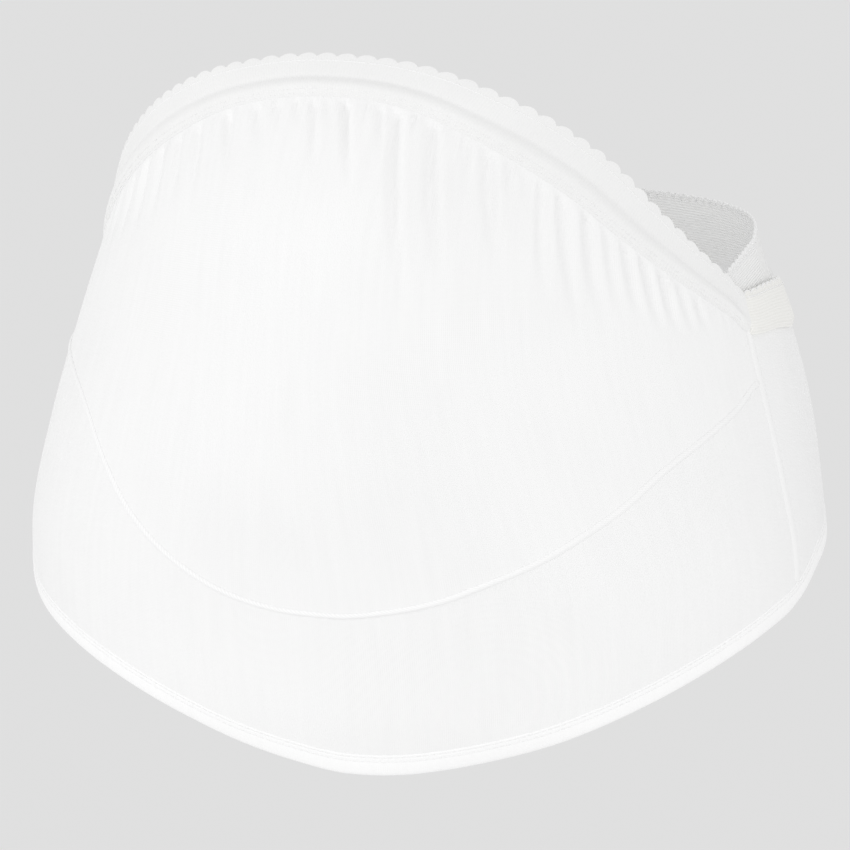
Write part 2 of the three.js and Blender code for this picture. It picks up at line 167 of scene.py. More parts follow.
# %% [markdown]
# A place on the belt is a turn, a height and a lift off the form. The form is rounder than an ellipse in
# front and flatter behind, which one more wave in the width gives. An edging is as wide as it is sewn, so
# its places are found by going down square to its edge, and not plumb.

# %% Places on the form


def form(turn, height):
    """Points on the form, in millimetres."""
    angle = np.radians(turn)
    width, belly, back, rounded, flat = [line(height) for line in form_lines]
    in_front = np.cos(angle) > 0
    depth = np.where(in_front, belly * belly_depth, back * back_depth)
    bend = np.where(in_front, rounded, -flat)
    across = (np.sin(angle) - bend * np.sin(3 * angle)) / (1 + bend)
    return np.stack([width * hip_width / 2 * across, -depth * np.cos(angle), height + 0 * angle], axis=-1)


def outward(turn, height):
    along = form(turn + 1, height) - form(turn - 1, height)
    up = form(turn, height + 1) - form(turn, height - 1)
    square = np.cross(along, up)
    return square / np.linalg.norm(square, axis=-1, keepdims=True)


def cloth(turn, height, lift):
    """Points that stand a lift off the form, square to it."""
    return form(turn, height) + np.asarray(lift)[..., None] * outward(turn, height)


def below_edge(edge, turn, distance, square):
    """The turns and heights a distance below an edge: square to it where square is 1, plumb where it is 0."""
    along = form(turn + 1, edge(turn + 1)) - form(turn - 1, edge(turn - 1))
    up = form(turn, edge(turn) + 1) - form(turn, edge(turn) - 1)
    cloth_per_height = np.linalg.norm(up, axis=-1) / 2
    cloth_per_degree = np.hypot(along[..., 0], along[..., 1]) / 2
    tilt = square * np.arctan2(along[..., 2] / 2 * cloth_per_height, cloth_per_degree)
    shift = distance * np.sin(tilt) / cloth_per_degree
    return turn + shift, edge(turn) - distance * np.cos(tilt) / cloth_per_height


def ease(x, low, high):
    x = np.clip((x - low) / (high - low), 0, 1)
    return x * x * (3 - 2 * x)


def band_place(turn, distance):
    """A place on the front elastic, a distance below its tips."""
    turn = np.asarray(turn, float)
    from_an_end = np.minimum(turn + right_seam, left_seam - turn)
    to_the_end = 1 - ease(from_an_end, 0, band_end_turn)
    width = band_width + (tab_height - band_width) * to_the_end
    return below_edge(top_edge, turn, distance * width / band_width, 1 - to_the_end)


foot_turns = np.linspace(-right_seam, left_seam, 61)
foot_of_band = line_through(*band_place(foot_turns, band_width))
print("the elastic's foot rises to", round(float(foot_of_band(top_middle))), "mm")

# %% [markdown]
# The gathers are folds that start under the elastic and fade down the cloth. Noise would give folds of
# one kind, and a cloth simulation would put them where it likes, so each row here is one fold of the real
# piece: the turn that it starts at, its width in degrees, its depth and reach as shares, and the degrees
# that it leans.

# %% The folds' table
# turn, width, depth, reach, lean
folds = [
    (-66, 1.3, 0.45, 0.35, 0), (-61, 1.5, 0.5, 0.45, 0), (-55.5, 1.5, 0.65, 0.5, 0.5),
    (-50, 1.5, 0.8, 0.55, 1), (-44.5, 1.5, 0.7, 0.55, 1.5), (-39, 1.4, 0.9, 0.5, 2),
    (-33.5, 1.6, 1, 0.55, 2.5), (-25.5, 1.6, 1, 0.42, 2.5), (-18.5, 1.5, 0.6, 0.32, 2.5),
    (-13.5, 1.4, 0.35, 0.25, 1.5), (-9.2, 1.4, 0.5, 0.2, 1), (-5.8, 1.4, 0.6, 0.55, 4),
    (-2.4, 1.2, 0.4, 0.2, 0.5), (0.8, 1.5, 0.9, 0.6, 5.5), (7.9, 1.3, 0.6, 0.35, 2.5),
    (11.2, 1.8, 1, 1.15, 8), (18.5, 1.9, 1, 1, 7.5), (25.5, 1.3, 0.5, 0.3, 1.5),
    (29.9, 1.8, 1, 0.7, 4.5), (34, 1.2, 0.4, 0.25, 1), (37.3, 1.3, 0.4, 0.25, 1),
    (40.5, 1.6, 0.8, 0.8, 2), (44.2, 1.7, 1, 0.75, 3), (49.2, 1.6, 1, 0.62, 1),
    (52.6, 1.5, 0.7, 0.52, 1), (55.8, 1.5, 1, 0.46, 1), (58.8, 1.4, 1, 0.46, 1.5),
    (61.9, 1.3, 1, 0.4, 1), (65, 1.3, 0.7, 0.32, 1), (67.8, 1.2, 0.6, 0.25, 0.5),
]
small_depth, small_reach = 0.3, 13


def fold_lift(turn, height):
    """How far in the folds pull the cloth, with small gathers close under the elastic."""
    foot = foot_of_band(turn)
    below = foot - height
    room = foot - belly_seam(turn)
    lift = np.zeros_like(below)
    for start, width, depth, reach, lean in folds:
        down = below / np.minimum(reach * fold_reach, fold_room * room)
        off = (turn - start - lean * down) / width
        fade = ease(below, 0, fold_start) * (1 - ease(down, fold_hold, 1)) * ((down > 0) & (down < 1))
        lift -= depth * fold_depth * fade * (1 - off * off) * np.exp(-off * off)
    small = np.sin(turn * 4.7 + 1.7 * np.sin(turn * 0.9)) * (0.6 + 0.4 * np.sin(turn * 1.3 + 1))
    small_end = small_reach + 4 * np.sin(turn * 1.9)
    return lift + small_depth * small * ease(below, 0, 2) * (1 - ease(below, 2, small_end))


# %% [markdown]
# A flat grid primitive is wrapped on the form by writing its points in one go. Its own places from 0 to 1
# become the place along the belt and the place up it. A Shrinkwrap modifier could lay it on a solid too,
# but the edges and folds would not be placed to a tenth of a millimetre. The UV map holds lengths of
# cloth in metres, so that every knit and rib has its real pitch and follows the piece.

# %% Wrapping a grid


def start_clean():
    bpy.ops.object.select_all(action="DESELECT")


def write_points(piece, points):
    piece.data.vertices.foreach_set("co", (np.asarray(points, float) * 0.001).reshape(-1))
    piece.data.update()


def read_points(piece):
    points = np.zeros(len(piece.data.vertices) * 3)
    piece.data.vertices.foreach_get("co", points)
    return points.reshape(-1, 3)


def write_uv(piece, lengths):
    """Writes the millimetres of cloth at each point, along the belt and up it, as the UV map."""
    layer = piece.data.uv_layers[0] if piece.data.uv_layers else piece.data.uv_layers.new(name="cloth")
    corners = np.zeros(len(piece.data.loops), int)
    piece.data.loops.foreach_get("vertex_index", corners)
    layer.data.foreach_set("uv", (np.asarray(lengths)[corners] * 0.001).reshape(-1))


def wrapped_grid(name, across, up, place, lengths):
    """A grid whose point at (u, v), each from 0 to 1, goes to place(u, v), with lengths(u, v) as its UV."""
    start_clean()
    bpy.ops.mesh.primitive_grid_add(x_subdivisions=across, y_subdivisions=up, size=1, location=(0, 0, 0))
    piece = bpy.context.object
    piece.name = piece.data.name = name
    u, v = (read_points(piece)[:, :2] + 0.5).T
    write_points(piece, place(u, v))
    write_uv(piece, np.stack(lengths(u, v), axis=-1))
    bpy.ops.object.shade_smooth()
    return piece


def finish_with(piece, kind, **settings):
    """Adds a modifier to a piece and applies it."""
    start_clean()
    piece.select_set(True)
    bpy.context.view_layer.objects.active = piece
    modifier = piece.modifiers.new(kind.title(), kind)
    for setting, value in settings.items():
        setattr(modifier, setting, value)
    bpy.ops.object.modifier_apply(modifier=modifier.name)
    return piece


def give_wall(piece, thickness, shares=None):
    """Turns a sheet into cloth of a thickness, inwards from its face. Shares thin it point by point."""
    settings = {"thickness": thickness * 0.001, "offset": -1, "use_even_offset": False}
    if shares is not None:
        thin = piece.vertex_groups.new(name="thickness")
        for level in np.unique(shares):
            thin.add(np.flatnonzero(shares == level).tolist(), float(level), "REPLACE")
        settings["vertex_group"] = "thickness"
    finish_with(piece, "SOLIDIFY", **settings)
    bpy.ops.object.shade_smooth_by_angle(angle=math.radians(50))
    return piece


def say(piece):
    size = [round(side * 1000) for side in piece.dimensions]
    print(piece.name, "is", size, "mm, with", len(piece.data.polygons), "faces")


def mix(low, high, share):
    return low + (high - low) * share


# %% [markdown]
# Patterns, stitches and scallops are spaced by length and not by turn, so a table gives the length of
# cloth at each turn. One table, taken round the middle of the belt, serves every pattern.

# %% Lengths along the ring


def length_table(edge, start, end, count=800):
    turns = np.linspace(start, end, count)
    points = form(turns, edge(turns))
    steps = np.linalg.norm(np.diff(points, axis=0), axis=1)
    return turns, np.concatenate([[0], np.cumsum(steps)])


def middle_edge(turn):
    middle_height = 40.0
    return middle_height + 0 * turn


ring_turns, ring_lengths = length_table(middle_edge, -180, 360)


def along_ring(turn):
    return np.interp(turn, ring_turns, ring_lengths)


print("the ring measures", round(float(along_ring(180) - along_ring(-180))), "mm round")

# %% [markdown]
# ## Finishes
# Shader maths is written as Python. A small class wraps a socket and overloads the operators, so that a
# pattern reads like a formula, and one method makes any other node. Picking nodes by hand in the shader
# editor gives the same result, but a formula is easier to read and to change.

# %% Shader maths as expressions


class Value:
    def __init__(self, tree, socket):
        self.tree, self.socket = tree, socket

    def math(self, operation, *others):
        node = self.tree.nodes.new("ShaderNodeMath")
        node.operation = operation
        for place, item in enumerate([self, *others]):
            if isinstance(item, Value):
                self.tree.links.new(item.socket, node.inputs[place])
            else:
                node.inputs[place].default_value = item
        return Value(self.tree, node.outputs[0])

    def __add__(self, other):
        return self.math("ADD", other)

    __radd__ = __add__

    def __mul__(self, other):
        return self.math("MULTIPLY", other)

    __rmul__ = __mul__

    def __sub__(self, other):
        return self.math("SUBTRACT", other)

    def __rsub__(self, other):
        return (self * -1) + other

    def wave(self, pitch):
        """From 0 to 1 and back once in each pitch of metres."""
        return (self * (2 * math.pi / pitch)).math("SINE") * 0.5 + 0.5


class Finish:
    """One material, with the nodes that it is made of."""

    def __init__(self, name):
        self.material = bpy.data.materials.new(name)
        self.material.use_nodes = True
        self.tree = self.material.node_tree
        self.surface = self.tree.nodes["Principled BSDF"]
        place = self.node("ShaderNodeUVMap", {}, {})
        split = self.node("ShaderNodeSeparateXYZ", {}, {"Vector": place.outputs["UV"]})
        self.uv = place.outputs["UV"]
        self.along, self.up = Value(self.tree, split.outputs["X"]), Value(self.tree, split.outputs["Y"])

    def node(self, kind, settings, sockets):
        made = self.tree.nodes.new(kind)
        for setting, value in settings.items():
            setattr(made, setting, value)
        for socket, value in sockets.items():
            if isinstance(value, Value):
                value = value.socket
            if isinstance(value, bpy.types.NodeSocket):
                self.tree.links.new(value, made.inputs[socket])
            else:
                made.inputs[socket].default_value = value
        return made

    def noise(self, scale, stretch=(1, 1, 1), detail=2.0):
        turned = self.node("ShaderNodeMapping", {}, {"Vector": self.uv, "Scale": stretch})
        sockets = {"Vector": turned.outputs[0], "Scale": scale, "Detail": detail}
        return Value(self.tree, self.node("ShaderNodeTexNoise", {}, sockets).outputs[0])

    def colour(self, low, high, mask):
        """Mixes two colours by a mask from 0 to 1. A Mix node's colour sockets are its numbers 6, 7 and 2."""
        mixed = self.node("ShaderNodeMix", {"data_type": "RGBA"}, {0: mask, 6: (*low, 1), 7: (*high, 1)})
        self.tree.links.new(mixed.outputs[2], self.surface.inputs["Base Color"])

    def relief(self, height, depth):
        """Bumps the surface by a height from 0 to 1 that stands for a depth in millimetres."""
        bump = self.node("ShaderNodeBump", {}, {"Height": height, "Distance": depth * 0.001, "Strength": 1.0})
        self.tree.links.new(bump.outputs[0], self.surface.inputs["Normal"])

    def set(self, **numbers):
        for socket, value in numbers.items():
            self.surface.inputs[socket.replace("_", " ")].default_value = value
        return self.material


# %% [markdown]
# Knit cloth is rows of loops: its wales run up the cloth and its courses along it, about a millimetre
# apart. Loops that small could be modelled for a close picture. Here two crossed waves in the relief are
# enough, with gentle streaks along the wales where the cloth is stretched.

# %% Knit for the panels and the hem


def knit_finish(name, low, high, wale, course, depth):
    finish = Finish(name)
    streaks = finish.noise(260, (1, 0.07, 1))
    clouds = finish.noise(14)
    loops = finish.along.wave(wale) * 0.65 + finish.up.wave(course) * 0.35
    finish.relief(loops * 0.75 + streaks * 0.9, depth)
    finish.colour(low, high, (streaks * 0.6 + clouds * 0.55 + loops * 0.12 - 0.12).math("MAXIMUM", 0))
    return finish.set(Roughness=0.72, Sheen_Weight=0.25, Sheen_Roughness=0.5, Specular_IOR_Level=0.3)


front_knit = knit_finish("front_knit", (0.87, 0.87, 0.87), (0.94, 0.94, 0.94), 0.0009, 0.0011, 0.06)
firm_knit = knit_finish("firm_knit", (0.88, 0.88, 0.88), (0.945, 0.945, 0.945), 0.0008, 0.0008, 0.11)
# The hem's knit is painted lighter than the panels' knit, as painted light that makes up for the shade on its
# curled-under fold.
hem_knit_painted_light = knit_finish("hem_knit_painted_light", (0.93, 0.93, 0.93), (0.98, 0.98, 0.98), 0.0009, 0.0011, 0.07)

# %% [markdown]
# The elastics are woven: rubber cords run their whole length under the threads, and show as ribs. The
# front one is brushed to a short plush, with faint ticks square to its edge. Sewing thread is twisted, so
# its relief is a slanted wave.

# %% Plush, ribs and thread


def plush_finish():
    finish = Finish("plush_elastic")
    fibres = finish.noise(1500, (1, 0.6, 1), 3.0)
    ticks = finish.along.wave(0.0013)
    clouds = finish.noise(40)
    finish.relief(fibres * 0.8 + ticks * 0.35, 0.13)
    finish.colour((0.835, 0.835, 0.835), (0.9, 0.9, 0.895), fibres * 0.5 + ticks * 0.2 + clouds * 0.5 - 0.1)
    return finish.set(Roughness=0.9, Sheen_Weight=0.5, Sheen_Roughness=0.4, Specular_IOR_Level=0.2)


def ribbed_finish(name, low, high, pitch, depth):
    finish = Finish(name)
    ribs = finish.up.wave(pitch)
    threads = finish.along.wave(0.0008)
    fibres = finish.noise(900)
    finish.relief(ribs * 0.8 + threads * 0.2 + fibres * 0.25, depth)
    finish.colour(low, high, ribs * 0.7 + fibres * 0.35)
    return finish.set(Roughness=0.85, Sheen_Weight=0.3, Sheen_Roughness=0.5, Specular_IOR_Level=0.25)


def thread_finish():
    finish = Finish("white_thread")
    twist = (finish.along * 0.7 + finish.up).wave(0.0012)
    finish.relief(twist, 0.03)
    finish.colour((0.89, 0.89, 0.89), (0.94, 0.94, 0.94), twist)
    return finish.set(Roughness=0.6, Sheen_Weight=0.2, Specular_IOR_Level=0.4)


plush = plush_finish()
ribs = ribbed_finish("ribbed_elastic", (0.84, 0.84, 0.835), (0.95, 0.95, 0.945), 0.0012, 0.2)
tab_ribs = ribbed_finish("tab_elastic", (0.86, 0.855, 0.825), (0.92, 0.915, 0.89), 0.0012, 0.1)
thread = thread_finish()
finishes = (front_knit, firm_knit, hem_knit_painted_light, plush, ribs, tab_ribs, thread)
print("finishes:", ", ".join(finish.name for finish in finishes))

# %% [markdown]
# ## The panels
# The front panel is knit cloth, gathered at its top and stretched smooth at its foot. It could be
# simulated, but these folds are seen one by one, so each is shaped from its row in the table. The grid's
# rows lie closer together near the top, where the folds are sharp.

# %% The gathered front


def settle(piece, finish, node=None):
    """Gives a finished piece its material and its body, and puts it in a solid's place."""
    piece.data.materials.clear()
    piece.data.materials.append(finish)
    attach(piece, "root")
    if node:
        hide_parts(node)
    say(piece)
    return piece


def front_place(u, v):
    turn = mix(-right_seam, left_seam, u)
    row = (1 - v) ** 1.5
    height = mix(foot_of_band(turn) + band_tuck, belly_seam(turn) + gap / 2, row)
    return turn, height


def front_points(u, v):
    turn, height = front_place(u, v)
    return cloth(turn, height, cloth_thickness + fold_lift(turn, height))


def cloth_lengths(place):
    """The lengths for a panel's UV. The cloth slopes, so it is a little longer than it is high."""
    slope_share = 1.15

    def lengths(u, v):
        turn, height = place(u, v)
        return along_ring(turn), height * slope_share

    return lengths


front_cloth = wrapped_grid("front_cloth", 400, 100, front_points, cloth_lengths(front_place))
give_wall(front_cloth, cloth_thickness)
settle(front_cloth, front_knit, "front_panel")

# %% [markdown]
# The cloth below the curved seam carries the load, so it is two layers thick and stretched flat. Only the
# seam's thread pulls it in a little. Its foot reaches into the hem, as it does in the real belt.

# %% The firm cloth below the curved seam
support_thickness = 1.6


def support_place(u, v):
    turn = mix(-right_seam, left_seam, u)
    return turn, mix(hem_edge(turn) + hem_height - hem_overlap, belly_seam(turn) - gap / 2, v)


def support_points(u, v):
    turn, height = support_place(u, v)
    below = belly_seam(turn) - height
    pull = 0.1 * np.sin(turn * 2.1 + np.sin(turn)) * np.exp(-((below - 4) / 6) ** 2)
    return cloth(turn, height, cloth_thickness + pull)


support_cloth = wrapped_grid("support_cloth", 280, 60, support_points, cloth_lengths(support_place))
give_wall(support_cloth, support_thickness)
settle(support_cloth, firm_knit, "support_panel")

# %% [markdown]
# The back is one plain panel from side seam to side seam. It lies smooth, so the wrapped grid alone is
# enough.

# %% The cloth round the back


def back_place(u, v):
    turn = mix(left_seam, 360 - right_seam, u)
    foot = hem_edge(turn) + hem_height - hem_overlap
    return turn, mix(foot, back_top(turn) - back_band_width + back_lap, v)


def back_points(u, v):
    turn, height = back_place(u, v)
    return cloth(turn, height, cloth_thickness + 0 * turn)


back_cloth = wrapped_grid("back_cloth", 240, 50, back_points, cloth_lengths(back_place))
give_wall(back_cloth, cloth_thickness)
settle(back_cloth, firm_knit, "back_panel")

# %% [markdown]
# ## The hem
# The hem is cloth folded up on itself and stitched down with a twin needle. A torus has the right build
# for it: a closed section carried round a ring. Its section's points come from a short table, with two
# grooves where the needle lines pull the cloth in. The UV map starts again where the ring closes, so the
# faces there are given lengths that run on.

# %% The turned hem
# rise as a share of the hem's height, and lift off the form: up the outer face, over and down the inside
hem_section = [
    (0.42, 1.5), (0.62, 1.49), (0.68, 1.34), (0.74, 1.48), (0.82, 1.47), (0.88, 1.3), (0.94, 1.42),
    (0.99, 1.25), (1, 0.9), (1, 0), (0.99, -0.5), (0.9, -0.7), (0.6, -0.7), (0.3, -0.68), (0.12, -0.5),
    (0.03, -0.1), (0, 0.4), (0.02, 0.85), (0.09, 1.25), (0.22, 1.48),
]
start_clean()
bpy.ops.mesh.primitive_torus_add(
    major_segments=256, minor_segments=len(hem_section), major_radius=1, minor_radius=0.25, location=(0, 0, 0)
)
hem_cloth = bpy.context.object
hem_cloth.name = hem_cloth.data.name = "hem_cloth"
ring = read_points(hem_cloth)
hem_turn = np.degrees(np.arctan2(ring[:, 1], ring[:, 0])) + 90
hem_turn = np.where(hem_turn > 180, hem_turn - 360, hem_turn)
around = np.arctan2(ring[:, 2], np.hypot(ring[:, 0], ring[:, 1]) - 1) / (2 * math.pi)
step = np.rint(around * len(hem_section)).astype(int) % len(hem_section)
rise, lift = np.array(hem_section)[step].T
hem_points = cloth(hem_turn, hem_edge(hem_turn) + rise * hem_height, lift)
write_points(hem_cloth, hem_points)
write_uv(hem_cloth, np.stack([along_ring(hem_turn), rise * hem_height], axis=-1))
corner_uv = np.zeros(len(hem_cloth.data.loops) * 2)
hem_cloth.data.uv_layers[0].data.foreach_get("uv", corner_uv)
corner_uv = corner_uv.reshape(-1, 4, 2)
whole_ring = float(along_ring(180) - along_ring(-180)) * 0.001
at_join = np.ptp(corner_uv[:, :, 0], axis=1) > whole_ring / 2
over_join = at_join[:, None] & (corner_uv[:, :, 0] < whole_ring / 2)
print("faces of the hem that lie over its join:", int(at_join.sum()))
corner_uv[:, :, 0] += whole_ring * over_join
hem_cloth.data.uv_layers[0].data.foreach_set("uv", corner_uv.reshape(-1))
bpy.ops.object.shade_smooth()
settle(hem_cloth, hem_knit_painted_light, "hem_band")

# %% [markdown]
# ## Stitches
# A stitch is a short bead of thread that dips into the cloth at both ends. An array on a curve would bend
# and bunch the beads, so one is modelled, from a sphere with few faces, and copied along a line. Each
# copy lies along the line at its place and stands square on the cloth.

# %% One stitch, and a way to copy it
start_clean()
bpy.ops.mesh.primitive_uv_sphere_add(segments=6, ring_count=4, radius=0.5, rotation=(0, math.pi / 2, 0))
bpy.ops.object.transform_apply(location=True, rotation=True, scale=True)
one_stitch = bpy.context.object
stitch_points = read_points(one_stitch)
stitch_faces = [list(face.vertices) for face in one_stitch.data.polygons]
bpy.data.objects.remove(one_stitch)


def copies(name, starts, ends, outwards, width, height):
    """Beads of thread from each start to its end, in millimetres, as one mesh."""
    along = ends - starts
    length = np.linalg.norm(along, axis=1, keepdims=True)
    along = along / length
    aside = np.cross(outwards, along)
    aside /= np.linalg.norm(aside, axis=1, keepdims=True)
    up = np.cross(along, aside)
    middle = (starts + ends) / 2
    p = stitch_points
    points = middle[:, None] + p[None, :, 0, None] * (along * length)[:, None]
    points = points + p[None, :, 1, None] * (aside * width)[:, None]
    points = points + p[None, :, 2, None] * (up * height)[:, None]
    faces = [[corner + i * len(p) for corner in face] for i in range(len(starts)) for face in stitch_faces]
    mesh = bpy.data.meshes.new(name)
    mesh.from_pydata((points * 0.001).reshape(-1, 3).tolist(), [], faces)
    piece = bpy.data.objects.new(name, mesh)
    bpy.context.scene.collection.objects.link(piece)
    lengths = np.broadcast_to(p[None, :, :2], points[..., :2].shape) * np.array([1.0, 0.5]) * length[:, None]
    write_uv(piece, lengths.reshape(-1, 2))
    start_clean()
    piece.select_set(True)
    bpy.context.view_layer.objects.active = piece
    bpy.ops.object.shade_smooth()
    return piece


def spaced_turns(edge, start, end, pitch):
    turns, lengths = length_table(edge, start, end)
    count = max(2, round(lengths[-1] / pitch))
    return np.interp(np.linspace(0, lengths[-1], count + 1), lengths, turns)


def stitch_line(name, place, turns, length_share, width, height):
    """Stitches along a line: place(turn) gives points on the cloth's face and the way out of it."""
    here, out = place(turns[:-1])
    there, _ = place(mix(turns[:-1], turns[1:], length_share))
    return copies(name, here, there, out, width, height)


# %% [markdown]
# The hem's two stitch lines lie in the grooves of its section. Their stitches are 3 mm apart, as a twin
# needle sews on cloth that stretches.

# %% The hem's twin stitch lines


def hem_line(rise, lift):
    def place(turn):
        height = hem_edge(turn) + rise * hem_height
        return cloth(turn, height, lift + 0 * turn), outward(turn, height)

    return place


hem_stitch_pitch, hem_groove_lift = 3.0, 1.38
hem_turns = spaced_turns(hem_edge, -180, 180, hem_stitch_pitch)
for line_name, rise in (("hem_stitches_low", 0.68), ("hem_stitches_high", 0.88)):
    line = stitch_line(line_name, hem_line(rise, hem_groove_lift), hem_turns, 0.8, 0.45, 0.25)
    settle(line, thread)

# %% [markdown]
# ## The seams
# The curved seam is a flatlock: a raised ridge covered by close threads that cross it. A bump map would
# leave its outline flat, so the ridge is a narrow wrapped grid with a rounded section, and the threads
# are beads laid across it in a zigzag.

# %% The curved seam
seam_width, seam_thickness, seam_thread_pitch = 2.7, 1, 1.5


def seam_points(u, v):
    turn = mix(1.2 - right_seam, left_seam - 1.2, u)
    across = 2 * v - 1
    turn, height = below_edge(belly_seam, turn, -across * seam_width / 2, 1)
    return cloth(turn, height, cloth_thickness + 0.1 + seam_thickness * 0.75 * (1 - across**2))


def seam_lengths(u, v):
    return along_ring(mix(-right_seam, left_seam, u)), v * seam_width


seam_ridge = wrapped_grid("belly_seam_ridge", 500, 8, seam_points, seam_lengths)
give_wall(seam_ridge, 0.3)
settle(seam_ridge, thread, "belly_seam")


def seam_side(across, lift):
    def place(turn):
        at, height = below_edge(belly_seam, turn, -across * seam_width / 2, 1)
        return cloth(at, height, lift + 0 * turn), outward(at, height)

    return place


seam_turns = spaced_turns(belly_seam, 1.6 - right_seam, left_seam - 1.6, seam_thread_pitch)
low_side, out = seam_side(-0.9, 1.4)(seam_turns[:-1])
high_side, _ = seam_side(0.9, 1.4)(seam_turns[1:])
middle_line, _ = seam_side(0, 1.95)((seam_turns[:-1] + seam_turns[1:]) / 2)
seam_threads = copies(
    "belly_seam_threads",
    np.concatenate([low_side, middle_line]),
    np.concatenate([middle_line, high_side]),
    np.concatenate([out, out]),
    0.6,
    0.3,
)
settle(seam_threads, thread)

# %% [markdown]
# The side seams are broader and flatter, and run plumb from the tabs to the hem. A coarser zigzag of
# thread lies on each. Both sides come from one function, as they differ in their turn alone.

# %% The side seams
side_half_width, side_ridge, side_pitch = 2.5, 0.4, 2.4


def side_seam(side, middle, node):
    """A low ridge up a side, with a thread that crosses the joint to and fro."""
    bottom = float(hem_edge(middle)) + hem_height + gap
    top = float(tab_top(middle)) - tab_height + 2

    def place(across, rise, lift):
        height = mix(bottom, top, rise)
        per_degree = np.linalg.norm(form(middle + 1, height) - form(middle - 1, height), axis=-1) / 2
        turn = middle + across * side_half_width / per_degree
        return cloth(turn, height, lift + 0 * turn)

    def points(u, v):
        across = 2 * u - 1
        return place(across, v, cloth_thickness + 0.05 + side_ridge * (1 - across**2))

    def lengths(u, v):
        return u * 2 * side_half_width, v * (top - bottom)

    ridge = wrapped_grid(f"side_seam_ridge_{side}", 10, 90, points, lengths)
    give_wall(ridge, 0.3)
    settle(ridge, thread, node)
    rises = np.linspace(0.005, 0.995, round((top - bottom) / side_pitch))
    sides = np.where(np.arange(len(rises)) % 2 == 0, -0.85, 0.85)
    corners = place(sides, rises, 1.35)
    out = outward(middle + 0 * rises, mix(bottom, top, rises))
    threads = copies(f"side_seam_threads_{side}", corners[:-1], corners[1:], out[:-1], 1.2, 0.6)
    settle(threads, thread)


side_seam("left", left_seam, "side_seam_left")
side_seam("right", -right_seam, "side_seam_right")

# %% [markdown]
# ## The front elastic
# The plush elastic bulges over the gathers, dips to a crease and leans out to its scallops. The scallops
# could be cut with a boolean, but the cut would leave long thin faces at its rim. Here the grid's top row
# dips to follow them instead. They are spaced by length, so the grid's columns are too, with a whole
# number to each.

# %% The plush elastic with its scallops
# rise as a share of the width, lift as a share of the puff
band_rows = [
    (0, 0), (0.1, 0.2), (0.24, 0.6), (0.34, 0.3), (0.46, -0.55), (0.55, -0.3), (0.86, 0.45), (1, 0.6),
]
band_lift = line_through([row[0] for row in band_rows], [row[1] for row in band_rows])


def foot_share(rise):
    """The elastic thins to a soft edge at its foot."""
    return 0.3 + 0.7 * ease(rise, 0, 0.2)


def band_face(turn, rise):
    """The lift of the elastic's outer face. It meets the cloth at its foot and the tabs at its ends."""
    flat = cloth_thickness + 0.08
    full = seat_lift + band_thickness + band_lift(rise) * band_puff
    to_end = np.minimum(left_seam - turn, turn + right_seam)
    full = mix(seat_lift + 1.8, full, ease(to_end, 0, 2))
    return mix(flat, full, ease(rise, -0.04, 0.24))


scallop_pitch, scallop_height, scallop_base = 8.8, 1.8, 0.86
band_turns, band_lengths = length_table(top_edge, -right_seam, left_seam)
scallop_count = round(band_lengths[-1] / scallop_pitch)
print("the front elastic has", scallop_count, "scallops on", round(float(band_lengths[-1])), "mm")


def band_turn(u):
    return np.interp(u * band_lengths[-1], band_lengths, band_turns)


def lobe(share):
    """One scallop: a round lobe that is fullest just past its middle, with a short flat on either side."""
    return np.clip(np.sin(math.pi * (share**1.15 - 0.04) / 0.92), 0, 1) ** 0.6


def scallop_dip(u, height):
    return height * (1 - lobe((u * scallop_count) % 1))


def band_points(u, v):
    """Below the scallops' base the rows are level. Above it they close up towards the scalloped edge."""
    below_base = np.minimum(v, scallop_base)
    above_base = np.maximum(v - scallop_base, 0) / (1 - scallop_base)
    tip = 1 - scallop_dip(u, scallop_height) / band_width
    rise = below_base + above_base * (tip - scallop_base)
    turn, height = band_place(band_turn(u), (1 - rise) * band_width)
    under = np.sin(u * band_lengths[-1] * 0.75 + 1.3 * np.sin(u * 40)) * np.exp(-((rise - 0.12) / 0.1) ** 2)
    return cloth(turn, height, band_face(band_turn(u), rise) + 0.06 * under)


def band_uv(u, v):
    return u * band_lengths[-1], v * band_width


band_columns, band_steps = scallop_count * 16, 32
band_cloth = wrapped_grid("top_elastic", band_columns, band_steps, band_points, band_uv)
point_rises = np.repeat(np.linspace(0, 1, band_steps + 1), band_columns + 1)
give_wall(band_cloth, band_thickness, np.round(foot_share(point_rises), 2))
settle(band_cloth, plush, "top_band")

# %% [markdown]
# Thin cords finish the elastic: one follows the scallops and another runs along their base. A swept
# circle would do, and a curve does that by itself: it goes through places on the cloth, gets a round
# bevel and is made a mesh. Its UV map runs along it, so that the thread's twist follows.

# %% Cords along an edge


def cord_along(name, points, radius):
    line = bpy.data.curves.new(name, "CURVE")
    line.dimensions = "3D"
    line.bevel_depth = radius * 0.001
    line.bevel_resolution = 1
    spline = line.splines.new("POLY")
    spline.points.add(len(points) - 1)
    places = np.concatenate([points * 0.001, np.ones((len(points), 1))], axis=1)
    spline.points.foreach_set("co", places.reshape(-1))
    line.use_fill_caps = True
    start_clean()
    cord = bpy.data.objects.new(name, line)
    bpy.context.scene.collection.objects.link(cord)
    cord.select_set(True)
    bpy.context.view_layer.objects.active = cord
    bpy.ops.object.convert(target="MESH")
    cord = bpy.context.object
    for layer in list(cord.data.uv_layers):
        cord.data.uv_layers.remove(layer)
    sides = len(cord.data.vertices) // len(points)
    order = np.arange(len(cord.data.vertices))
    steps = np.linalg.norm(np.diff(points, axis=0), axis=1)
    lengths = np.concatenate([[0], np.cumsum(steps)])
    along = lengths[np.minimum(order // sides, len(points) - 1)]
    write_uv(cord, np.stack([along, order % sides / sides * 2 * math.pi * radius], axis=-1))
    bpy.ops.object.shade_smooth()
    return cord


def on_band(u, rise, lift):
    turn, height = band_place(band_turn(u), (1 - rise) * band_width)
    return cloth(turn, height, band_face(band_turn(u), rise) + lift)


